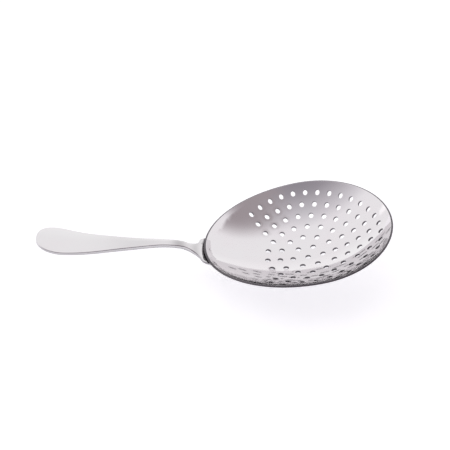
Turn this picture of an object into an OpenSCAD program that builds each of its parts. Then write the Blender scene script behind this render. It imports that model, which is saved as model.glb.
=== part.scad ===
// Julep strainer: a pressed, perforated, egg-shaped dish whose cranked flat handle
// ends in a flared tongue, spot-welded to the outside of the dish under its rim.
// Millimetres, +Z up, at rest on the underside of the dish. +X runs from the handle
// towards the far end of the dish, and the origin is under the middle of the whole
// length, on the surface that the strainer stands on.
// Every piece is drawn in the dish's own frame, where z = 0 is the plane of the rim
// and x = 0 is the middle of the dish's length, and at_rest() puts it in its place.

/* [Dish] */
// Length over the rim, in line with the handle
dish_length = 87; // [80:0.5:95]
// Width over the rim
dish_width = 77.4; // [72:0.2:80]
// Depth from the rim plane to the underside
dish_depth = 17.2; // [15:0.2:20]
// Distance from the middle of the length forward to the widest place
widest_shift = 5.4; // [0:0.2:8]
// Thickness of the sheet at the widest place
sheet = 1; // [0.8:0.1:1.2]

/* [Drain holes] */
// Diameter of a drain hole
hole_d = 2.5; // [2:0.1:3]
// Distance from the centre hole to the first ring, along the dish
first_ring = 7.05; // [6.5:0.05:7.5]
// Distance from each ring to the next, along the dish
ring_pitch = 6.02; // [5.6:0.01:6.1]
// Number of rings round the centre hole
ring_count = 6; // [3:1:6]
// Number of inner rings that run all the way round
full_rings = 3; // [1:1:6]
// Angle on each side of the handle in which the outer rings have no holes
plain_angle = 45; // [30:1:60]
// Distance of the centre hole in front of the middle of the dish's length
pattern_shift = 3.4; // [2:0.1:4]

/* [Handle] */
// Distance from the rim out to the handle's tip
handle_reach = 69.9; // [60:0.1:80]
// Height of the tip above the rim plane
tip_rise = 25.6; // [20:0.1:30]
// Slope of the blade at its tip
tip_slope = 24; // [18:1:28]
// Slope of the shank
shank_slope = 12; // [10:1:16]
// Distance from the rim out to the middle of the shank
shank_out = 19.5; // [18:0.5:22]
// Height of the middle of the shank above the rim plane
shank_rise = 10.05; // [9:0.05:11]
// Length of the straight flare from the rim up to the crank
flare_length = 8.3; // [7:0.1:9]
// Slope of the flare
flare_slope = 41; // [38:1:44]
// Widest part of the blade
blade_width = 18.4; // [15:0.1:22]
// Distance from the tip back to the widest part of the blade
blade_tip = 9.5; // [8:0.1:12]
// Width of the neck, the narrowest part
neck_width = 4.6; // [4:0.1:6]
// Radius of the hollow curve that widens the neck into the tongue
flare_radius = 6.5; // [5:0.1:7]
// Thickness of the blade at its tip
tip_thick = 1.3; // [1:0.1:1.6]
// Thickness at the neck
neck_thick = 2.2; // [1.6:0.1:2.6]

/* [Tongue] */
// Width of the tongue under the rim
tongue_width = 18.6; // [17:0.2:20]
// Length of the tongue under the dish, seen from above
tongue_length = 11; // [9:0.5:13]
// Thickness of the tongue
tongue_thick = 1.2; // [1:0.1:1.5]
// Width of the open crevice between the rim's edge and the flare
rim_gap = 0.5; // [0.3:0.1:0.6]
// Diameter of a spot weld
weld_d = 3.2; // [2.5:0.1:4]
// Distance between the two spot welds, across the tongue
weld_gap = 7; // [5:0.1:8]
// Depth of the dent that each electrode leaves in the tongue
weld_dent = 0.2; // [0.1:0.05:0.3]

/* [Attitude at rest] */
// Angle by which the far end of the rim is raised
rest_tilt = 10.1; // [0:0.1:14]

/* [Hidden] */
$fn = 96;
ball_fn = 200;
hole_fn = 24;
curve_steps = 14;
spare = 1;
big = 300;

// The dish is part of a sphere of this radius, stretched along x by a different
// amount behind and in front of its widest place
half_length = dish_length / 2;
half_width = dish_width / 2;
outer_r = (half_width * half_width + dish_depth * dish_depth) / (2 * dish_depth);
inner_r = outer_r - sheet;
centre_z = outer_r - dish_depth;
stretch_back = (half_length + widest_shift) / half_width;
stretch_front = (half_length - widest_shift) / half_width;

function stretch_at(x) = x < widest_shift ? stretch_back : stretch_front;
function share_at(x, y, r) =
    pow((x - widest_shift) / (stretch_at(x) * r), 2) + pow(y / r, 2);
function dish_z(x, y, r) = centre_z - r * sqrt(1 - share_at(x, y, r));
function dish_normal(x, y, r) =
    let (n = [(x - widest_shift) / pow(stretch_at(x), 2), y, dish_z(x, y, r) - centre_z])
    n / norm(n);

// Points of a cubic curve that leaves a and reaches b along the given tangents
function curve(a, tangent_a, tangent_b, b) = [
    for (i = [0:curve_steps])
    let (t = i / curve_steps, s = 1 - t)
    s * s * s * a + 3 * s * s * t * (a + tangent_a) + 3 * s * t * t * (b - tangent_b) + t * t * t * b
];
function downhill(angle) = [cos(angle), -sin(angle)];
function without_last(list) = [for (i = [0:len(list) - 2]) list[i]];
function reversed(list) = [for (i = [len(list) - 1:-1:0]) list[i]];

// Side view of the handle's upper face, from the tip down to the rim. Each pull is how
// far a curve keeps to the slope of the straight that it joins
tip_pull = 21.6;
shank_pull = 34.9;
crank_pull = 2.2;
flare_pull = 3;
rim_x = -half_length;
tip_x = rim_x - handle_reach;
rim_point = [rim_x - rim_gap * sin(flare_slope), -rim_gap * cos(flare_slope)];
crank_point = rim_point - flare_length * downhill(flare_slope);
shank_point = [rim_x - shank_out, shank_rise];
tip_point = [tip_x, tip_rise];
blade_curve = curve(tip_point, tip_pull * downhill(tip_slope),
    shank_pull * downhill(shank_slope), shank_point);
crank_curve = curve(shank_point, crank_pull * downhill(shank_slope),
    flare_pull * downhill(flare_slope), crank_point);

// Side view of the tongue, which follows the outside of the dish
tongue_x = rim_x + tongue_length;
tongue_xs = [for (i = [1:curve_steps]) rim_x + (i / curve_steps) * (tongue_length + spare)];
function wall_point(x, out) =
    let (n = dish_normal(x, 0, outer_r))
    [x, dish_z(x, 0, outer_r)] + out * [n.x, n.z];
tongue_top = [for (x = tongue_xs) wall_point(x, -sheet / 2)];
tongue_under = [for (x = tongue_xs) wall_point(x, tongue_thick)];

// Thickness along the handle: thin at the tip, thickest at the neck
free_top = concat(without_last(blade_curve), without_last(crank_curve), [crank_point, rim_point]);
function thick_at(x) = lookup(x, [
    [tip_x, tip_thick],
    [shank_point.x, neck_thick],
    [crank_point.x, neck_thick],
    [rim_x, tongue_thick]
]);
function slope_at(points, i) =
    let (d = points[min(i + 1, len(points) - 1)] - points[max(i - 1, 0)])
    d / norm(d);
free_under = [
    for (i = [0:len(free_top) - 1])
    let (d = slope_at(free_top, i))
    free_top[i] + thick_at(free_top[i].x) * [d.y, -d.x]
];
side_outline = concat(free_top, tongue_top, reversed(tongue_under), reversed(free_under));

// Plan view of one edge of the handle, from the tip to the end of the tongue. The tip
// is an ellipse that tip_power makes a little squarer
tip_power = 2.4;
blade_pull = 3;
neck_pull = 20.2;
neck_out = 10.8;
flare_out = 0.5;
flare_turn = 75;
shoulder_pull = 1.6;
tongue_widest = 2.6;
widest_x = tip_x + blade_tip;
neck_x = rim_x - neck_out;
flare_x = rim_x - flare_out - flare_radius;
tongue_middle = rim_x + tongue_widest;
tip_edge = [
    for (i = [0:curve_steps])
    let (a = 90 * i / curve_steps)
    [widest_x - blade_tip * pow(cos(a), 2 / tip_power), blade_width / 2 * pow(sin(a), 2 / tip_power)]
];
blade_edge = curve([widest_x, blade_width / 2], [blade_pull, 0],
    [neck_pull, 0], [neck_x, neck_width / 2]);
flare_edge = [
    for (i = [0:curve_steps])
    let (a = flare_turn * i / curve_steps)
    [flare_x + flare_radius * sin(a), neck_width / 2 + flare_radius * (1 - cos(a))]
];
shoulder_edge = curve(flare_edge[curve_steps],
    shoulder_pull * [cos(flare_turn), sin(flare_turn)],
    [shoulder_pull, 0], [tongue_middle, tongue_width / 2]);
tongue_edge = [
    for (i = [1:curve_steps])
    let (a = 90 * i / curve_steps)
    [tongue_middle + (tongue_x - tongue_middle) * sin(a), tongue_width / 2 * cos(a)]
];
half_plan = concat(tip_edge, blade_edge, flare_edge, shoulder_edge, tongue_edge);

// Where the dish's frame sits in the frame at rest
function rest_x(p) = p.x * cos(rest_tilt) - p.y * sin(rest_tilt);
front_x = rest_x([half_length, 0]);
back_x = min([for (p = side_outline) rest_x(p)]);
low_z = widest_shift * sin(rest_tilt) + centre_z * cos(rest_tilt)
    - outer_r * norm([stretch_back * sin(rest_tilt), cos(rest_tilt)]);

module at_rest() {
    translate([-(front_x + back_x) / 2, 0, -low_z])
        rotate([0, -rest_tilt, 0])
            children();
}

// Half of a stretched ball behind (side = -1) or in front (side = 1) of the widest place
module half_ball(r, side, top) {
    intersection() {
        translate([widest_shift, 0, centre_z])
            scale([side < 0 ? stretch_back : stretch_front, 1, 1])
                sphere(r = r, $fn = ball_fn);
        translate([widest_shift + (side < 0 ? -big : 0), -big / 2, top - big]) cube(big);
    }
}

// Stands children upright on the dish's surface, with +Z pointing out of the dish
module on_dish(x, y, r) {
    n = dish_normal(x, y, r);
    translate([x, y, dish_z(x, y, r)])
        rotate([0, acos(n.z), atan2(n.y, n.x)])
            children();
}

// Ring n has 6 n places, and the first lies on the line towards the handle
module drain_holes() {
    for (ring = [0:ring_count]) {
        arc = ring == 0 ? 0 : first_ring + (ring - 1) * ring_pitch;
        reach = inner_r * sin(arc / inner_r * 180 / PI);
        places = max(6 * ring, 1);
        first_angle = ring > full_rings ? plain_angle : 0;
        for (i = [0:places - 1]) {
            a = 360 * i / places;
            if (a >= first_angle && a <= 360 - first_angle)
                on_dish(pattern_shift - reach * cos(a), reach * sin(a), inner_r)
                    cylinder(h = 6 * sheet, d = hole_d, center = true, $fn = hole_fn);
        }
    }
}

module strainer_bowl() {
    color("gainsboro")
        at_rest()
            for (side = [-1, 1]) difference() {
                half_ball(outer_r, side, 0);
                half_ball(inner_r, side, spare);
                drain_holes();
            }
}

// The places of the two spot welds, a little over halfway along the tongue
weld_share = 0.55;
module at_welds() {
    for (side = [-1, 1])
        on_dish(rim_x + weld_share * tongue_length, side * weld_gap / 2, outer_r)
            children();
}

module handle() {
    color("silver")
        at_rest()
            difference() {
                intersection() {
                    rotate([90, 0, 0])
                        linear_extrude(height = big, center = true) polygon(side_outline);
                    linear_extrude(height = big, center = true)
                        polygon(concat(half_plan, reversed([for (p = half_plan) [p.x, -p.y]])));
                }
                half_ball(outer_r, -1, 0);
                at_welds() cylinder(h = 3 * tongue_thick, d = weld_d, center = true);
            }
}

module spot_welds() {
    color("darkgray")
        at_rest()
            difference() {
                at_welds()
                    translate([0, 0, -sheet / 2]) cylinder(h = sheet / 2 + tongue_thick - weld_dent, d = weld_d);
                half_ball(outer_r, -1, 0);
            }
}

strainer_bowl();
handle();
spot_welds();
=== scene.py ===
"""Julep strainer: a polished, perforated dish on a cranked flat handle, in a plain white studio.

The dish and the handle are sheets drawn over their plan view, in millimetres, in the dish's own
frame: z = 0 is the plane of the rim, x = 0 is the middle of the dish's length, and +x points away
from the handle. place() takes the points to the row frame, in metres.
"""
import math

import bpy
import numpy as np
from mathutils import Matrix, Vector
from mathutils.geometry import delaunay_2d_cdt


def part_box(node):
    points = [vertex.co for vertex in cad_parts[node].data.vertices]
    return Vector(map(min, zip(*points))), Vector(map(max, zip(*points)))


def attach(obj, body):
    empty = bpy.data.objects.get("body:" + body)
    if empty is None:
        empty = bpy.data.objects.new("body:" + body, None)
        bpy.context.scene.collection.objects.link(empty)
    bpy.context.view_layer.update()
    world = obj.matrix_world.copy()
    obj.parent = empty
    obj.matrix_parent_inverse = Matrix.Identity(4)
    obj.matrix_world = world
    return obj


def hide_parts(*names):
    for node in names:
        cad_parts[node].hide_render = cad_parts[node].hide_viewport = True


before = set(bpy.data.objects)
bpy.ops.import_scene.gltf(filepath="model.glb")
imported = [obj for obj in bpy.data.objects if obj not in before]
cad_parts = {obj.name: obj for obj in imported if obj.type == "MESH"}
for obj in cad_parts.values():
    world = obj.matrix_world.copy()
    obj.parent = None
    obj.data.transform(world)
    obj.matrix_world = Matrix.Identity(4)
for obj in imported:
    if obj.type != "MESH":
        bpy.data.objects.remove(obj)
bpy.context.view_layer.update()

MM = 0.001

# Dish
DISH_LENGTH = 87.0
DISH_WIDTH = 77.4
DISH_DEPTH = 17.2
WIDEST_SHIFT = 5.4
SHEET = 1.0

# Drain holes
HOLE_R = 1.25
FIRST_RING = 7.05
RING_PITCH = 6.02
RING_COUNT = 6
FULL_RINGS = 3
PLAIN_ANGLE = 45.0
PATTERN_SHIFT = 3.4

# A hole's edge radius, and by what share the outermost ones are narrower and longer than round
HOLE_ROUND = 0.16
HOLE_SQUEEZE = 0.16
HOLE_PULL = 0.06

# Handle. Each pull is how far a curve keeps to the slope of the straight that it joins
HANDLE_REACH = 69.9
TIP_RISE = 25.6
TIP_SLOPE = math.radians(24)
SHANK_SLOPE = math.radians(12)
SHANK_OUT = 19.5
SHANK_RISE = 10.05
FLARE_LENGTH = 8.3
FLARE_SLOPE = math.radians(41)
TIP_PULL = 21.6
SHANK_PULL = 34.9
CRANK_PULL = 2.2
FLARE_PULL = 3.0
BLADE_WIDTH = 18.4
BLADE_TIP = 9.5
TIP_POWER = 2.4
BLADE_PULL = 3.0
NECK_PULL = 20.2
NECK_WIDTH = 4.6
NECK_OUT = 10.8
FLARE_RADIUS = 6.5
FLARE_OUT = 0.5
FLARE_TURN = math.radians(75)
SHOULDER_PULL = 1.6
TONGUE_WIDEST = 2.6
TONGUE_WIDTH = 18.6
TONGUE_LENGTH = 11.0
TONGUE_THICK = 1.2
TIP_THICK = 1.3
NECK_THICK = 2.2
EDGE_ROUND = 0.42
RIM_GAP = 0.5
CONTACT_GAP = 0.03
WELD_R = 1.6
WELD_GAP = 7.0
WELD_SHARE = 0.55

# Attitude at rest
REST_TILT = math.radians(10.1)

# The dish is part of a ball, stretched along x by different amounts behind and in front of its
# widest place
HALF_LENGTH = DISH_LENGTH / 2
HALF_WIDTH = DISH_WIDTH / 2
OUTER_R = (HALF_WIDTH**2 + DISH_DEPTH**2) / (2 * DISH_DEPTH)
INNER_R = OUTER_R - SHEET
CENTRE_Z = OUTER_R - DISH_DEPTH
INNER_RIM_R = math.sqrt(INNER_R**2 - CENTRE_Z**2)
STRETCH_BACK = (HALF_LENGTH + WIDEST_SHIFT) / HALF_WIDTH
STRETCH_FRONT = (HALF_LENGTH - WIDEST_SHIFT) / HALF_WIDTH
RIM_X = -HALF_LENGTH
TIP_X = RIM_X - HANDLE_REACH
WELD_X = RIM_X + WELD_SHARE * TONGUE_LENGTH

# The dish frame's place: the front of the rim and the lowest point of the underside are the same
# as on the CAD bowl
bowl_low, bowl_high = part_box("strainer_bowl")
COS_T, SIN_T = math.cos(REST_TILT), math.sin(REST_TILT)
LOWEST = (
    WIDEST_SHIFT * SIN_T
    + CENTRE_Z * COS_T
    - OUTER_R * math.hypot(STRETCH_BACK * SIN_T, COS_T)
)
ORIGIN_X = bowl_high.x / MM - HALF_LENGTH * COS_T
ORIGIN_Z = bowl_low.z / MM - LOWEST


def place(points):
    """Points of the dish frame, in millimetres, as points of the row frame, in metres."""
    x, y, z = np.moveaxis(np.asarray(points, float), -1, 0)
    return MM * np.stack([ORIGIN_X + x * COS_T - z * SIN_T, y, ORIGIN_Z + x * SIN_T + z * COS_T], -1)


def place_directions(vectors):
    """Directions of the dish frame as directions of the row frame."""
    x, y, z = np.moveaxis(np.asarray(vectors, float), -1, 0)
    return np.stack([x * COS_T - z * SIN_T, y, x * SIN_T + z * COS_T], -1)


def unit(vectors):
    return vectors / np.linalg.norm(vectors, axis=-1, keepdims=True)


# ---------------------------------------------------------------- the dish's surface


def stretch_at(x):
    return np.where(x < WIDEST_SHIFT, STRETCH_BACK, STRETCH_FRONT)


def lift_dish(x, y, depth):
    """The point of the dish's sheet at plan place x, y, and depth under its inner face."""
    k = stretch_at(x)
    u = (x - WIDEST_SHIFT) / k
    drop = np.sqrt(INNER_R**2 - u**2 - y**2)
    grow = 1 + depth / INNER_R
    return np.stack([WIDEST_SHIFT + k * u * grow, y * grow, CENTRE_Z - drop * grow], -1)


def dish_down(x, y):
    """The direction out of the dish's underside at plan place x, y."""
    k = stretch_at(x)
    u = (x - WIDEST_SHIFT) / k
    drop = np.sqrt(INNER_R**2 - u**2 - y**2)
    return unit(np.stack([u / k, y, -drop], -1))


def outer_z(x, y, out):
    """Height of the dish's outer face, or of a face that far outside it."""
    u = (x - WIDEST_SHIFT) / stretch_at(x)
    return CENTRE_Z - np.sqrt(np.maximum((OUTER_R + out) ** 2 - u**2 - y**2, 1.0))


# ---------------------------------------------------------------- sheets with rounded edges and holes

NORMAL_PROBE = 0.02
SMALLEST_EDGE = 1e-7


def rounded_path(corners, radii, steps):
    """A path through (outward, depth) corners, with each inner corner rounded."""
    points = [np.array(corners[0], float)]
    for i in range(1, len(corners) - 1):
        here = np.array(corners[i], float)
        before = unit(np.array(corners[i - 1], float) - here)
        after = unit(np.array(corners[i + 1], float) - here)
        for j in range(steps + 1):
            t = j / steps
            a, b = here + before * radii[i - 1], here + after * radii[i - 1]
            points.append((1 - t) ** 2 * a + 2 * t * (1 - t) * here + t**2 * b)
    points.append(np.array(corners[-1], float))
    return np.array(points)


def path_normals(path):
    """The direction out of the sheet at each point of a path."""
    step = np.gradient(path, axis=0)
    return unit(np.stack([step[:, 1], -step[:, 0]], -1))


class Sheet:
    """A closed sheet: an upper and a lower face over one triangulated plan, and rounded edges."""

    def __init__(self, lift):
        self.lift = lift
        self.points, self.normals, self.faces, self.cut = [], [], [], []
        self.plan, self.upper, self.lower = [], [], []
        self.loops = []

    def add(self, points, normals):
        """Keeps the points, and returns their numbers."""
        first = sum(len(p) for p in self.points)
        self.points.append(points)
        self.normals.append(normals)
        return np.arange(first, first + len(points))

    def edge(self, plan, path, cut):
        """One closed edge. plan(outward distance) gives the loop's points in the plan view.
        The rows of faces in cut take the cut-edge material, and the others the polished one."""
        bends = path_normals(path)
        rows = []
        for (out, depth), (n_out, n_down) in zip(path, bends):
            at, near = plan(out), plan(out + NORMAL_PROBE)
            here = self.lift(at[:, 0], at[:, 1], depth)
            there = self.lift(near[:, 0], near[:, 1], depth)
            below = self.lift(at[:, 0], at[:, 1], depth + NORMAL_PROBE)
            normal = unit(n_out * unit(there - here) + n_down * unit(below - here))
            rows.append(self.add(here, normal))
        count = len(rows[0])
        for row, (a, b) in enumerate(zip(rows, rows[1:])):
            for i in range(count):
                j = (i + 1) % count
                self.faces.append((a[i], b[i], b[j], a[j]))
                self.cut.append(row in cut)
        first = sum(len(p) for p in self.plan)
        self.plan.append(plan(path[0][0]))
        self.upper.append(rows[0])
        self.lower.append(rows[-1])
        self.loops.append((first, count))

    def inside(self, plan, down, depth):
        """The points between the edges, on both faces."""
        x, y = plan[:, 0], plan[:, 1]
        normal = down(x, y)
        self.plan.append(plan)
        self.upper.append(self.add(self.lift(x, y, 0.0), -normal))
        self.lower.append(self.add(self.lift(x, y, depth), normal))

    def fill(self):
        """Triangulates the plan and lays it on both faces, leaving the holes open."""
        plan = np.concatenate(self.plan)
        loop_of = np.full(len(plan), -1)
        edges = []
        for number, (first, count) in enumerate(self.loops):
            loop_of[first : first + count] = number
            edges += [(first + i, first + (i + 1) % count) for i in range(count)]
        upper, lower = np.concatenate(self.upper), np.concatenate(self.lower)
        _, _, triangles, sources, _, _ = delaunay_2d_cdt(
            [Vector(p) for p in plan], edges, [], 0, SMALLEST_EDGE
        )
        first, count = self.loops[0]
        ring = plan[first : first + count]
        for triangle in triangles:
            a, b, c = (sources[i][0] for i in triangle)
            same = loop_of[a] == loop_of[b] == loop_of[c]
            if same and loop_of[a] > 0:
                continue
            if same and loop_of[a] == 0 and not holds(ring, (plan[a] + plan[b] + plan[c]) / 3):
                continue
            self.faces.append((upper[a], upper[b], upper[c]))
            self.faces.append((lower[c], lower[b], lower[a]))
            self.cut += [False, False]

    def finish(self, name, polished, sheared, shade=None):
        """Builds the mesh. shade(points, normals) gives how much painted shade each point takes, from
        0 to 1.
        """
        mesh = bpy.data.meshes.new(name)
        points = place(np.concatenate(self.points))
        mesh.from_pydata(points.tolist(), [], [tuple(int(i) for i in f) for f in self.faces])
        mesh.update()
        mesh.polygons.foreach_set("use_smooth", [True] * len(mesh.polygons))
        normals = place_directions(np.concatenate(self.normals))
        mesh.normals_split_custom_set_from_vertices([tuple(n) for n in normals])
        piece = add_piece(name, mesh, polished)
        mesh.materials.append(sheared)
        mesh.polygons.foreach_set("material_index", [int(c) for c in self.cut])
        if shade:
            painted_shade = mesh.attributes.new("painted_shade", "FLOAT", "POINT")
            values = shade(np.concatenate(self.points), np.concatenate(self.normals))
            painted_shade.data.foreach_set("value", values.astype(np.float32))
        return piece


def holds(ring, point):
    """Is the point inside the closed ring?"""
    x, y = point
    x1, y1 = ring[:, 0], ring[:, 1]
    x2, y2 = np.roll(x1, -1), np.roll(y1, -1)
    cross = (y1 > y) != (y2 > y)
    with np.errstate(divide="ignore", invalid="ignore"):
        at = (x2 - x1) * (y - y1) / (y2 - y1) + x1
    return bool(np.count_nonzero(cross & (x < at)) % 2)


def add_piece(name, mesh, material):
    piece = bpy.data.objects.new(name, mesh)
    bpy.context.scene.collection.objects.link(piece)
    mesh.materials.append(material)
    return piece


def hex_points(low, high, pitch):
    """A honeycomb of points over the box from low to high."""
    rows = np.arange(low[1], high[1], pitch * math.sqrt(3) / 2)
    points = []
    for i, y in enumerate(rows):
        start = low[0] + (i % 2) * pitch / 2
        points += [(x, y) for x in np.arange(start, high[0], pitch)]
    return np.array(points)


# ---------------------------------------------------------------- materials


class Nodes:
    """Short names for adding shader nodes to one tree."""

    def __init__(self, tree):
        self.tree = tree
        tree.nodes.clear()

    def add(self, kind, inputs=None, **settings):
        node = self.tree.nodes.new(kind)
        for key, value in settings.items():
            setattr(node, key, value)
        for key, value in (inputs or {}).items():
            if isinstance(value, bpy.types.NodeSocket):
                self.tree.links.new(value, node.inputs[key])
            else:
                node.inputs[key].default_value = value
        return node

    def math(self, operation, a, b=0.0, clamp=False):
        node = self.add("ShaderNodeMath", {0: a, 1: b}, operation=operation, use_clamp=clamp)
        return node.outputs[0]

    def ramp(self, fac, stops):
        node = self.add("ShaderNodeValToRGB", {"Fac": fac})
        band = node.color_ramp
        while len(band.elements) < len(stops):
            band.elements.new(0.5)
        for element, (at, colour) in zip(band.elements, stops):
            element.position = at
            element.color = (*colour, 1.0)
        return node.outputs["Color"]

    def blend(self, fac, a, b):
        node = self.add("ShaderNodeMixRGB", {"Fac": fac, "Color1": a, "Color2": (*b, 1.0)})
        return node.outputs[0]

    def noise(self, vector, scale, detail, rough):
        inputs = {"Vector": vector, "Scale": scale, "Detail": detail, "Roughness": rough}
        return self.add("ShaderNodeTexNoise", inputs).outputs["Fac"]

    def stretch(self, vector, scale):
        return self.add("ShaderNodeMapping", {"Vector": vector, "Scale": scale}).outputs["Vector"]

    def bump(self, height, strength, distance, normal=None):
        inputs = {"Height": height, "Strength": strength, "Distance": distance}
        if normal is not None:
            inputs["Normal"] = normal
        return self.add("ShaderNodeBump", inputs).outputs["Normal"]


# Patterns of the steel: noise scales count the features in a metre
HAIRLINES = {"scale": 1.0, "detail": 3.0, "rough": 0.7}
SMEARS = {"scale": 1.0, "detail": 4.0, "rough": 0.6}
WAVES = {"scale": 55.0, "detail": 1.0, "rough": 0.4}
PITS = {"scale": 2600.0, "detail": 2.0, "rough": 0.6}
SHEAR_LINES = {"scale": 3800.0, "detail": 3.0, "rough": 0.7}
MOTTLE = {"scale": 900.0, "detail": 4.0, "rough": 0.6}
HAIRLINE_SCALE = 5200.0
HAIRLINE_LENGTHWISE = 90.0
HAIRLINE_ROUND = 3.0
SMEAR_SCALE = (60, 90, 90)
DARK_AT = 0.3
MIDDLE_AT = 0.5
LIGHT_AT = 0.7

# Relief of the patterns, with the distance in metres
WAVE_RELIEF = {"strength": 0.25, "distance": 0.0004}
HAIRLINE_RELIEF = {"strength": 0.05, "distance": 0.00002}
PIT_RELIEF = {"strength": 0.03, "distance": 0.00001}
SHEAR_RELIEF = {"strength": 0.15, "distance": 0.00002}
MOTTLE_RELIEF = {"strength": 0.3, "distance": 0.00005}

# Roughness without a pattern, and how much each pattern adds
MIRROR_ROUGHNESS = 0.035
SMEAR_FROM = 0.42
SMEAR_ADDS = 0.22
HAIRLINE_FROM = 0.55
HAIRLINE_ADDS = 0.30
SHEAR_ROUGHNESS = 0.16
SHEAR_ADDS = 0.25
WELD_ROUGHNESS = 0.22
MOTTLE_ADDS = 0.3

# Colours
# Painted shade: near black, blended into the polished steel by a per-point attribute, for the shade
# in the handle's crevice and the dark reflections on its shank, crank and flare
PAINTED_SHADE_COLOUR = (0.035, 0.03, 0.035)
WARMER = (1.0, 0.975, 0.985)
BOWL_TONE = (0.78, 0.77, 0.78)
# The dish's cut edges and hole walls: dull sheared steel, painted much darker than real stainless
# steel as shade, so they read as dark outlines
BOWL_EDGES_AND_PAINTED_SHADE = ((0.09, 0.08, 0.09), (0.17, 0.16, 0.17))
HANDLE_TONE = (0.77, 0.765, 0.77)
HANDLE_EDGES = ((0.46, 0.45, 0.46), (0.60, 0.59, 0.60))
WELD_BROWN = (0.33, 0.29, 0.27)
WELD_STRAW = (0.50, 0.44, 0.36)
WELD_GREY = (0.55, 0.54, 0.55)


def new_steel(name):
    """A new material with its nodes and the place of each point on the object."""
    material = bpy.data.materials.new(name)
    material.use_nodes = True
    n = Nodes(material.node_tree)
    return material, n, n.add("ShaderNodeTexCoord").outputs["Object"]


def finish_steel(n, colour, rough, normal):
    """Joins up the metal shader of a new steel."""
    metal = {"Base Color": colour, "Metallic": 1.0, "Roughness": rough, "Normal": normal}
    shader = n.add("ShaderNodeBsdfPrincipled", metal)
    n.add("ShaderNodeOutputMaterial", {"Surface": shader.outputs[0]})


def polished_steel(name, tone, grain_vector):
    """Mirror-polished stainless steel with polishing hairlines, soft waviness and faint smears."""
    material, n, place_at = new_steel(name)
    grain = grain_vector(n, place_at)
    hairlines = n.noise(grain, **HAIRLINES)
    smears = n.noise(n.stretch(place_at, SMEAR_SCALE), **SMEARS)
    waves = n.noise(place_at, **WAVES)
    pits = n.noise(place_at, **PITS)
    dulling_and_painted_reflection = n.math("SUBTRACT", smears, SMEAR_FROM, clamp=True)
    scratched = n.math("SUBTRACT", hairlines, HAIRLINE_FROM, clamp=True)
    smear_rough = n.math("MULTIPLY", dulling_and_painted_reflection, SMEAR_ADDS)
    line_rough = n.math("MULTIPLY", scratched, HAIRLINE_ADDS)
    rough = n.math("ADD", n.math("ADD", smear_rough, line_rough), MIRROR_ROUGHNESS)
    warm = tuple(c * f for c, f in zip(tone, WARMER))
    colour = n.ramp(smears, [(DARK_AT, tone), (LIGHT_AT, warm)])
    # Painted shade and painted dark reflections: the colour turns towards near black by the mesh's
    # per-point attribute
    painted_shade = n.add("ShaderNodeAttribute", attribute_name="painted_shade").outputs["Fac"]
    colour = n.blend(painted_shade, colour, PAINTED_SHADE_COLOUR)
    normal = n.bump(waves, **WAVE_RELIEF)
    normal = n.bump(hairlines, **HAIRLINE_RELIEF, normal=normal)
    normal = n.bump(pits, **PIT_RELIEF, normal=normal)
    finish_steel(n, colour, rough, normal)
    return material


def lengthwise(n, place_at):
    """Hairlines along the handle."""
    return n.stretch(place_at, (HAIRLINE_LENGTHWISE, HAIRLINE_SCALE, HAIRLINE_SCALE))


def round_the_dish(n, place_at):
    """Hairlines in circles round the dish's axis, as a polishing mop leaves them."""
    centre = tuple(place([WIDEST_SHIFT, 0.0, 0.0]))
    away = n.add("ShaderNodeVectorMath", {0: place_at, 1: centre}, operation="SUBTRACT").outputs[0]
    split = n.add("ShaderNodeSeparateXYZ", {0: away}).outputs
    square_x = n.math("POWER", split[0], 2.0)
    square_y = n.math("POWER", split[1], 2.0)
    radius = n.math("SQRT", n.math("ADD", square_x, square_y))
    angle = n.math("ARCTAN2", split[1], split[0])
    across = n.math("MULTIPLY", radius, HAIRLINE_SCALE)
    along = n.math("MULTIPLY", angle, HAIRLINE_ROUND)
    return n.add("ShaderNodeCombineXYZ", {0: across, 1: along, 2: 0.0}).outputs[0]


def sheared_steel(name, dark, light):
    """The cut edge of the sheet: barrelled but not mirror-polished, with fine lines across it."""
    material, n, place_at = new_steel(name)
    lines = n.noise(place_at, **SHEAR_LINES)
    colour = n.ramp(lines, [(DARK_AT, dark), (LIGHT_AT, light)])
    rough = n.math("ADD", n.math("MULTIPLY", lines, SHEAR_ADDS), SHEAR_ROUGHNESS)
    normal = n.bump(lines, **SHEAR_RELIEF)
    finish_steel(n, colour, rough, normal)
    return material


def weld_steel(name):
    """The dull, heat-tinted dent of a spot weld."""
    material, n, place_at = new_steel(name)
    mottle = n.noise(place_at, **MOTTLE)
    tints = [(DARK_AT, WELD_BROWN), (MIDDLE_AT, WELD_STRAW), (LIGHT_AT, WELD_GREY)]
    colour = n.ramp(mottle, tints)
    rough = n.math("ADD", n.math("MULTIPLY", mottle, MOTTLE_ADDS), WELD_ROUGHNESS)
    normal = n.bump(mottle, **MOTTLE_RELIEF)
    finish_steel(n, colour, rough, normal)
    return material


# ---------------------------------------------------------------- the dish

DISH_EDGE_STEPS = 240
HOLE_STEPS = 32
DISH_PITCH = 1.25

# The rim's edge: the band of wall that belongs to it, how far up the wall its inner and outer
# corners are from the rim plane's inner edge, their rounding, and the rows of cut steel, painted dark
# as shade
RIM_BAND = 1.6
RIM_INSIDE = 0.35
RIM_OUTSIDE = 0.62
RIM_ROUNDS = [0.34, 0.45]
RIM_STEPS = 6
RIM_CUT_AND_SHADE_ROWS = range(3, 12)

# The same for a hole. The lower edge of a punched hole is the sharper one
HOLE_BAND = 2 * HOLE_ROUND
HOLE_ROUNDS = [HOLE_ROUND, 0.7 * HOLE_ROUND]
HOLE_ROUND_STEPS = 4
# Rows of the hole wall in the cut-edge colour: sheared steel, painted dark as shade
HOLE_CUT_AND_SHADE_ROWS = range(3, 7)

# Gives the middle hole, which has no direction outwards, one to start from
AVOID_ZERO = 1e-9

# How far the points between the edges keep from them, as a share of the pitch
RIM_CLEAR = 0.3
HOLE_CLEAR = 0.45


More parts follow.
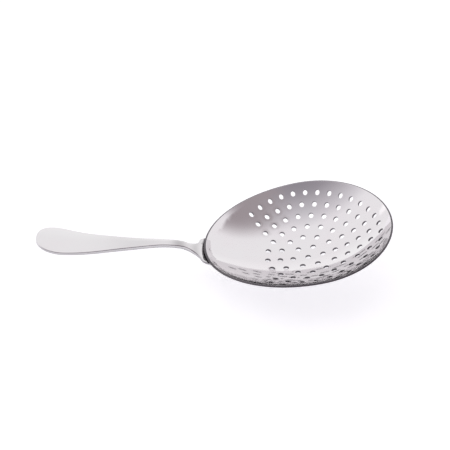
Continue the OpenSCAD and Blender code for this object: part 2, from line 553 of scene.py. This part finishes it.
def dish_outline(out):
    """The rim's inner corner in plan, moved outward by that much along the wall."""
    slope = math.atan2(INNER_RIM_R, CENTRE_Z)
    r = INNER_R * math.sin(slope + out / INNER_R)
    a = np.arange(DISH_EDGE_STEPS) * 2 * math.pi / DISH_EDGE_STEPS
    u, y = r * np.cos(a), r * np.sin(a)
    return np.stack([WIDEST_SHIFT + np.where(u < 0, STRETCH_BACK, STRETCH_FRONT) * u, y], -1)


def hole_places():
    """Plan places of the drain holes, and how far out each one's ring is, from 0 to 1.
    Ring n has 6 n places, the first on the line to the handle."""
    places = []
    for ring in range(RING_COUNT + 1):
        arc = 0.0 if ring == 0 else FIRST_RING + (ring - 1) * RING_PITCH
        reach = INNER_R * math.sin(arc / INNER_R)
        plain = PLAIN_ANGLE if ring > FULL_RINGS else 0.0
        count = max(6 * ring, 1)
        for i in range(count):
            a = 360.0 * i / count
            if plain <= a <= 360.0 - plain:
                a = math.radians(a)
                x, y = PATTERN_SHIFT - reach * math.cos(a), reach * math.sin(a)
                places.append((x, y, ring / RING_COUNT))
    return places


def hole_loop(place_x, place_y, share):
    """A function that gives a drain hole's loop in plan, moved in towards its axis by out.
    The holes were punched round in the flat, and pressing the dish made the outer ones oval."""
    x, y = np.array([place_x]), np.array([place_y])
    down = dish_down(x, y)[0]
    middle = lift_dish(x, y, 0.0)[0]
    around = unit(np.array([-place_y, place_x - PATTERN_SHIFT + AVOID_ZERO, 0.0]))
    around = unit(around - down * (around @ down))
    outwards = np.cross(down, around)
    wide = HOLE_R * (1 - HOLE_SQUEEZE * share**2)
    tall = HOLE_R * (1 + HOLE_PULL * share**2)
    a = np.arange(HOLE_STEPS) * 2 * math.pi / HOLE_STEPS

    def loop(out):
        across = np.outer((wide - out) * np.cos(a), around)
        along = np.outer((tall - out) * np.sin(a), outwards)
        return (middle + (across + along))[:, :2]

    x, y = (loop(0.0) - loop(0.0).mean(0)).T
    turn = np.sum(x * np.roll(y, -1) - y * np.roll(x, -1))
    return (lambda out: loop(out)[::-1]) if turn > 0 else loop


def strainer_bowl():
    """The perforated dish."""
    sheet = Sheet(lift_dish)
    rim_path = rounded_path(
        [(-RIM_BAND, 0.0), (RIM_INSIDE, 0.0), (RIM_OUTSIDE, SHEET), (-RIM_BAND, SHEET)],
        RIM_ROUNDS,
        RIM_STEPS,
    )
    sheet.edge(dish_outline, rim_path, RIM_CUT_AND_SHADE_ROWS)
    hole_path = rounded_path(
        [(-HOLE_BAND, 0.0), (0.0, 0.0), (0.0, SHEET), (-HOLE_BAND, SHEET)],
        HOLE_ROUNDS,
        HOLE_ROUND_STEPS,
    )
    centres = hole_places()
    for centre in centres:
        sheet.edge(hole_loop(*centre), hole_path, HOLE_CUT_AND_SHADE_ROWS)
    grid = hex_points((-HALF_LENGTH, -HALF_WIDTH), (HALF_LENGTH, HALF_WIDTH), DISH_PITCH)
    u = (grid[:, 0] - WIDEST_SHIFT) / stretch_at(grid[:, 0])
    keep = np.hypot(u, grid[:, 1]) < INNER_RIM_R - RIM_BAND - RIM_CLEAR * DISH_PITCH
    clear = HOLE_R + HOLE_BAND + HOLE_CLEAR * DISH_PITCH
    for x, y, _ in centres:
        keep &= np.hypot(grid[:, 0] - x, grid[:, 1] - y) > clear
    sheet.inside(grid[keep], dish_down, SHEET)
    sheet.fill()
    steel = polished_steel("bowl_steel", BOWL_TONE, round_the_dish)
    # The cut edges and hole walls: sheared steel whose colour is painted much darker than real steel,
    # as shade
    edges = sheared_steel("bowl_edges_and_painted_shade", *BOWL_EDGES_AND_PAINTED_SHADE)
    piece = sheet.finish("bowl", steel, edges)
    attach(piece, "root")
    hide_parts("strainer_bowl")


# ---------------------------------------------------------------- the handle

# Crown: how much the upper face drops, in mm, for each square mm across from the middle
# It is the shank's up to CROWN_OUT from the rim, and turns into the blade's over CROWN_RUN
BLADE_CROWN = 0.0045
SHANK_CROWN = 0.08
CROWN_OUT = 9.0
CROWN_RUN = 30.0

# Distances out from the rim at which the upper face starts to take the dish's curve, and over
# which it does, and the distance past the rim at which the tongue touches the dish
HUG_OUT = 6.5
HUG_RUN = 6.0
TOUCH_PAST = 3.0

# Painted shade in the crevice under the rim: how far it reaches out past the rim, how fast it fades,
# and how much a point has to face up to count as the upper face
CREVICE_SHOWS = 0.2
CREVICE_FADES = 0.2
FACING_UP = 0.1

# Painted dark reflections, grey patches on the upper face's shank, crank and flare: distance out from
# the rim, half-length and strength
PAINTED_REFLECTIONS = [(28.0, 12.0, 0.10), (9.7, 3.0, 0.34), (3.2, 1.6, 0.24)]

# The mesh: distances between points, and the edge's rounding as a share of the thickness too
HANDLE_PITCH = 0.9
HANDLE_CLEAR = 0.45
EDGE_STEP = 0.45
EDGE_BAND = 2.2 * EDGE_ROUND
EDGE_ROUNDS = [EDGE_ROUND, 0.8 * EDGE_ROUND]
EDGE_ROUND_STEPS = 5
EDGE_CUT_ROWS = range(5, 9)
EDGE_SMOOTHINGS = 3
SLOPE_PROBE = 0.25
PAST_TIP = 3.0
PAST_RIM = 20.0
SIDE_STEPS = 400
CRANK_STEPS = 300
PLAN_STEPS = 60


def cubic(a, tangent_a, tangent_b, b, count):
    """Points of a cubic curve that leaves a and reaches b along the given tangents."""
    t = np.linspace(0, 1, count)[:, None]
    a, b = np.array(a, float), np.array(b, float)
    p, q = a + np.array(tangent_a), b - np.array(tangent_b)
    return (1 - t) ** 3 * a + 3 * (1 - t) ** 2 * t * p + 3 * (1 - t) * t**2 * q + t**3 * b


def downhill(angle, length):
    """A step of that length down the slope, as x and z."""
    return np.array([math.cos(angle), -math.sin(angle)]) * length


def handle_side():
    """Side view of the handle's upper face, from the tip to under the rim, as x and z."""
    rim = np.array([RIM_X - RIM_GAP * math.sin(FLARE_SLOPE), -RIM_GAP * math.cos(FLARE_SLOPE)])
    crank = rim - downhill(FLARE_SLOPE, FLARE_LENGTH)
    shank = np.array([RIM_X - SHANK_OUT, SHANK_RISE])
    tip = np.array([TIP_X, TIP_RISE])
    leave_tip, reach_shank = downhill(TIP_SLOPE, TIP_PULL), downhill(SHANK_SLOPE, SHANK_PULL)
    blade = cubic(tip, leave_tip, reach_shank, shank, SIDE_STEPS)
    leave_shank, reach_crank = downhill(SHANK_SLOPE, CRANK_PULL), downhill(FLARE_SLOPE, FLARE_PULL)
    bend = cubic(shank, leave_shank, reach_crank, crank, CRANK_STEPS)
    past_tip = tip - downhill(TIP_SLOPE, PAST_TIP)
    past_rim = rim + downhill(FLARE_SLOPE, PAST_RIM)
    return np.vstack([past_tip, blade, bend[1:], rim, past_rim])


def smooth(t):
    """A smooth step from 0 to 1."""
    t = np.clip(t, 0, 1)
    return t * t * (3 - 2 * t)


SIDE = handle_side()


def handle_z(x, y):
    """Height of the handle's upper face: a crowned strip that turns into the dish's own curve."""
    crown = SHANK_CROWN + (BLADE_CROWN - SHANK_CROWN) * smooth((RIM_X - CROWN_OUT - x) / CROWN_RUN)
    strip = np.interp(x, SIDE[:, 0], SIDE[:, 1]) - crown * y**2
    gap = CONTACT_GAP + (RIM_GAP - CONTACT_GAP) * smooth((RIM_X + TOUCH_PAST - x) / TOUCH_PAST)
    hug = outer_z(x, y, gap)
    return strip + (hug - strip) * smooth((x - (RIM_X - HUG_OUT)) / HUG_RUN)


def handle_down(x, y):
    """The direction into the handle from its upper face at plan place x, y."""
    step = SLOPE_PROBE
    slope_x = (handle_z(x + step, y) - handle_z(x - step, y)) / (2 * step)
    slope_y = (handle_z(x, y + step) - handle_z(x, y - step)) / (2 * step)
    return unit(np.stack([slope_x, slope_y, -np.ones_like(slope_x)], -1))


def handle_thick(x):
    """Thickness along the handle: thin at the tip, thickest at the neck."""
    crank_x = RIM_X - FLARE_LENGTH * math.cos(FLARE_SLOPE)
    return np.interp(
        x,
        [TIP_X, RIM_X - SHANK_OUT, crank_x, RIM_X, RIM_X + TONGUE_LENGTH],
        [TIP_THICK, NECK_THICK, NECK_THICK, TONGUE_THICK, TONGUE_THICK],
    )


def lift_handle(x, y, share):
    """The point of the handle at plan place x, y, and that share of its thickness down."""
    depth = (share * handle_thick(x))[:, None]
    return np.stack([x, y, handle_z(x, y)], -1) + depth * handle_down(x, y)


def handle_half_plan():
    """One edge of the handle in plan, from the tip to the end of the tongue."""
    quarter = np.linspace(0, math.pi / 2, PLAN_STEPS)
    widest = np.array([TIP_X + BLADE_TIP, BLADE_WIDTH / 2])
    neck = (RIM_X - NECK_OUT, NECK_WIDTH / 2)
    power = 2 / TIP_POWER
    tip_x = widest[0] - BLADE_TIP * np.cos(quarter) ** power
    tip = np.stack([tip_x, widest[1] * np.sin(quarter) ** power], -1)
    blade = cubic(widest, (BLADE_PULL, 0.0), (NECK_PULL, 0.0), neck, 2 * PLAN_STEPS)
    sweep = np.linspace(0, FLARE_TURN, PLAN_STEPS)
    flare_x = RIM_X - FLARE_RADIUS - FLARE_OUT + FLARE_RADIUS * np.sin(sweep)
    flare = np.stack([flare_x, NECK_WIDTH / 2 + FLARE_RADIUS * (1 - np.cos(sweep))], -1)
    middle = (RIM_X + TONGUE_WIDEST, TONGUE_WIDTH / 2)
    leave_flare = (SHOULDER_PULL * math.cos(FLARE_TURN), SHOULDER_PULL * math.sin(FLARE_TURN))
    shoulder = cubic(flare[-1], leave_flare, (SHOULDER_PULL, 0.0), middle, PLAN_STEPS)
    tongue_x = middle[0] + (RIM_X + TONGUE_LENGTH - middle[0]) * np.sin(quarter)
    tongue = np.stack([tongue_x, middle[1] * np.cos(quarter)], -1)
    return np.vstack([tip, blade[1:], flare, shoulder[1:], tongue[1:]])


def evenly(points, step):
    """The closed line through the points, as points about step apart."""
    closed = np.vstack([points, points[:1]])
    walk = np.r_[0, np.cumsum(np.linalg.norm(np.diff(closed, axis=0), axis=1))]
    at = np.linspace(0, walk[-1], int(walk[-1] / step), endpoint=False)
    return np.stack([np.interp(at, walk, closed[:, i]) for i in (0, 1)], -1)


def handle_painted_shade(points, normals):
    """The upper face's painted colour: near black in the crevice under the rim as painted shade, and
    a little darker along the shank, crank and flare as painted dark reflections.
    """
    x, y = points[:, 0], points[:, 1]
    out = WIDEST_SHIFT - STRETCH_BACK * np.sqrt(HALF_WIDTH**2 - y**2) - x
    # Painted dark reflections on the shank, crank and flare
    dulling_and_painted_reflection = sum(amount * np.exp(-(((out - at) / half) ** 2)) for at, half, amount in PAINTED_REFLECTIONS)
    # Painted shade in the crevice under the rim
    dark = smooth((CREVICE_SHOWS - out) / CREVICE_FADES)
    return np.maximum(dulling_and_painted_reflection, dark) * (normals[:, 2] > FACING_UP)


def handle():
    """The blade, the shank, the crank, the flare and the tongue, in one strip."""
    half = handle_half_plan()
    mirrored = half[::-1] * (1, -1)
    ring = evenly(np.vstack([half[:-1], mirrored])[::-1], EDGE_STEP)
    for _ in range(EDGE_SMOOTHINGS):
        ring = (np.roll(ring, 1, 0) + 2 * ring + np.roll(ring, -1, 0)) / 4
    ahead = unit(np.roll(ring, -1, 0) - np.roll(ring, 1, 0))
    outward = np.stack([ahead[:, 1], -ahead[:, 0]], -1)

    def outline(out):
        return ring + out * outward

    sheet = Sheet(lift_handle)
    corners = [(-EDGE_BAND, 0.0), (0.0, 0.0), (0.0, 1.0), (-EDGE_BAND, 1.0)]
    path = rounded_path(corners, EDGE_ROUNDS, EDGE_ROUND_STEPS)
    sheet.edge(outline, path, EDGE_CUT_ROWS)
    low, high = ring.min(0), ring.max(0)
    grid = hex_points(low, high, HANDLE_PITCH)
    shore = outline(path[0][0])
    keep = np.array([holds(shore, p) for p in grid])
    gaps = np.linalg.norm(grid[:, None] - shore[None], axis=-1).min(1)
    keep &= gaps > HANDLE_CLEAR * HANDLE_PITCH
    sheet.inside(grid[keep], handle_down, np.array([1.0]))
    sheet.fill()
    steel = polished_steel("handle_steel", HANDLE_TONE, lengthwise)
    edges = sheared_steel("handle_edges", *HANDLE_EDGES)
    piece = sheet.finish("handle_strip", steel, edges, handle_painted_shade)
    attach(piece, "root")
    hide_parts("handle")


# ---------------------------------------------------------------- the spot welds

# Distance from the weld's middle, and how far it stands out of the tongue's underside
WELD_PROFILE = [
    (0.0, 0.02),
    (0.9, 0.03),
    (1.25, 0.08),
    (WELD_R, 0.16),
    (1.85, 0.10),
    (2.0, 0.0),
    (2.0, -0.4),
]
WELD_STEPS = 48


def spot_weld(side, material):
    """A raised ring round a shallow dent, on the tongue's underside."""
    x, y = np.array([WELD_X]), np.array([side * WELD_GAP / 2])
    down = handle_down(x, y)[0]
    foot = lift_handle(x, y, np.array([1.0]))[0]
    across = unit(np.cross(down, (0.0, 1.0, 0.0)))
    along = np.cross(down, across)
    points, faces = [foot + down * WELD_PROFILE[0][1]], []
    for r, h in WELD_PROFILE[1:]:
        for i in range(WELD_STEPS):
            a = 2 * math.pi * i / WELD_STEPS
            points.append(foot + down * h + r * (math.cos(a) * across + math.sin(a) * along))
    last = 1 + (len(WELD_PROFILE) - 2) * WELD_STEPS
    for i in range(WELD_STEPS):
        j = (i + 1) % WELD_STEPS
        faces.append((0, 1 + i, 1 + j))
        for a in range(1, last, WELD_STEPS):
            b = a + WELD_STEPS
            faces.append((a + i, b + i, b + j, a + j))
    faces.append(tuple(last + i for i in reversed(range(WELD_STEPS))))
    mesh = bpy.data.meshes.new("spot_weld")
    mesh.from_pydata(place(np.array(points)).tolist(), [], faces)
    mesh.polygons.foreach_set("use_smooth", [len(p.vertices) <= 4 for p in mesh.polygons])
    mesh.update()
    piece = add_piece("spot_weld_left" if side > 0 else "spot_weld_right", mesh, material)
    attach(piece, "root")
    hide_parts("spot_welds")


# ---------------------------------------------------------------- studio

FLOOR_SIZE = 40.0
FLOOR_COLOUR = (0.9, 0.9, 0.905, 1.0)
GLOW_COLOUR = (0.95, 0.955, 0.98, 1.0)
FLOOR_GLOW = 0.50
TENT_STRENGTH = 1.15

# The tent's light, from the camera's side (0) to the far side (1)
TENT = [
    (0.0, (0.17, 0.15, 0.18)),
    (0.26, (0.34, 0.32, 0.35)),
    (0.48, (0.65, 0.63, 0.66)),
    (0.6, (0.86, 0.84, 0.86)),
    (0.75, (0.88, 0.87, 0.88)),
    (0.9, (0.88, 0.87, 0.88)),
    (1.0, (1.0, 1.0, 1.0)),
]

# A soft dark flag and a soft bright panel in the tent: the direction towards each, its inner
# and outer half-angles in degrees, and its colour
FLAGS = [
    ((0.56, -0.20, 0.80), 5, 38, (0.36, 0.32, 0.335)),
    ((-0.74, 0.66, 0.12), 1, 6, (1.15, 1.15, 1.15)),
]


def studio():
    """A back-lit white acrylic table under a soft white tent that is darker on the camera's side."""
    bpy.ops.mesh.primitive_plane_add(size=FLOOR_SIZE)
    floor = bpy.context.object
    floor.name = "floor"
    material = bpy.data.materials.new("acrylic_table")
    material.use_nodes = True
    n = Nodes(material.node_tree)
    diffuse = n.add("ShaderNodeBsdfDiffuse", {"Color": FLOOR_COLOUR})
    glow = n.add("ShaderNodeEmission", {"Color": GLOW_COLOUR, "Strength": FLOOR_GLOW})
    both = n.add("ShaderNodeAddShader", {0: diffuse.outputs[0], 1: glow.outputs[0]})
    n.add("ShaderNodeOutputMaterial", {"Surface": both.outputs[0]})
    floor.data.materials.append(material)

    world = bpy.data.worlds.new("tent")
    bpy.context.scene.world = world
    world.use_nodes = True
    n = Nodes(world.node_tree)
    towards = n.add("ShaderNodeTexCoord").outputs["Generated"]
    split = n.add("ShaderNodeSeparateXYZ", {0: towards}).outputs
    share = n.math("ADD", n.math("MULTIPLY", split[1], 0.5), 0.5)
    colour = n.ramp(share, TENT)
    for toward, inner, outer, shade in FLAGS:
        pair = {0: towards, 1: toward}
        facing = n.add("ShaderNodeVectorMath", pair, operation="DOT_PRODUCT").outputs["Value"]
        edge, middle = math.cos(math.radians(outer)), math.cos(math.radians(inner))
        limits = {"Value": facing, 1: edge, 2: middle}
        cover = n.add("ShaderNodeMapRange", limits, interpolation_type="SMOOTHSTEP").outputs[0]
        colour = n.blend(cover, colour, shade)
    sky = n.add("ShaderNodeBackground", {"Color": colour, "Strength": TENT_STRENGTH})
    n.add("ShaderNodeOutputWorld", {"Surface": sky.outputs[0]})


def camera():
    """A 66 mm lens, 36 degrees above the table, almost square to the handle."""
    aim = Vector((0.0041, 0.0, 0.0229))
    azimuth, elevation, distance = math.radians(-5.38), math.radians(36.08), 0.3707
    data = bpy.data.cameras.new("camera")
    data.sensor_width = 36.0
    data.lens = 66.3
    data.clip_start = 0.01
    view = bpy.data.objects.new("camera", data)
    bpy.context.scene.collection.objects.link(view)
    flat = math.cos(elevation)
    away = Vector((math.sin(azimuth) * flat, -math.cos(azimuth) * flat, math.sin(elevation)))
    view.location = aim + distance * away
    view.rotation_euler = (-away).to_track_quat("-Z", "Y").to_euler()
    bpy.context.scene.camera = view


camera()
studio()
strainer_bowl()
handle()
weld_material = weld_steel("spot_weld_steel")
for side in (-1, 1):
    spot_weld(side, weld_material)
bpy.context.scene.view_settings.view_transform = "Standard"
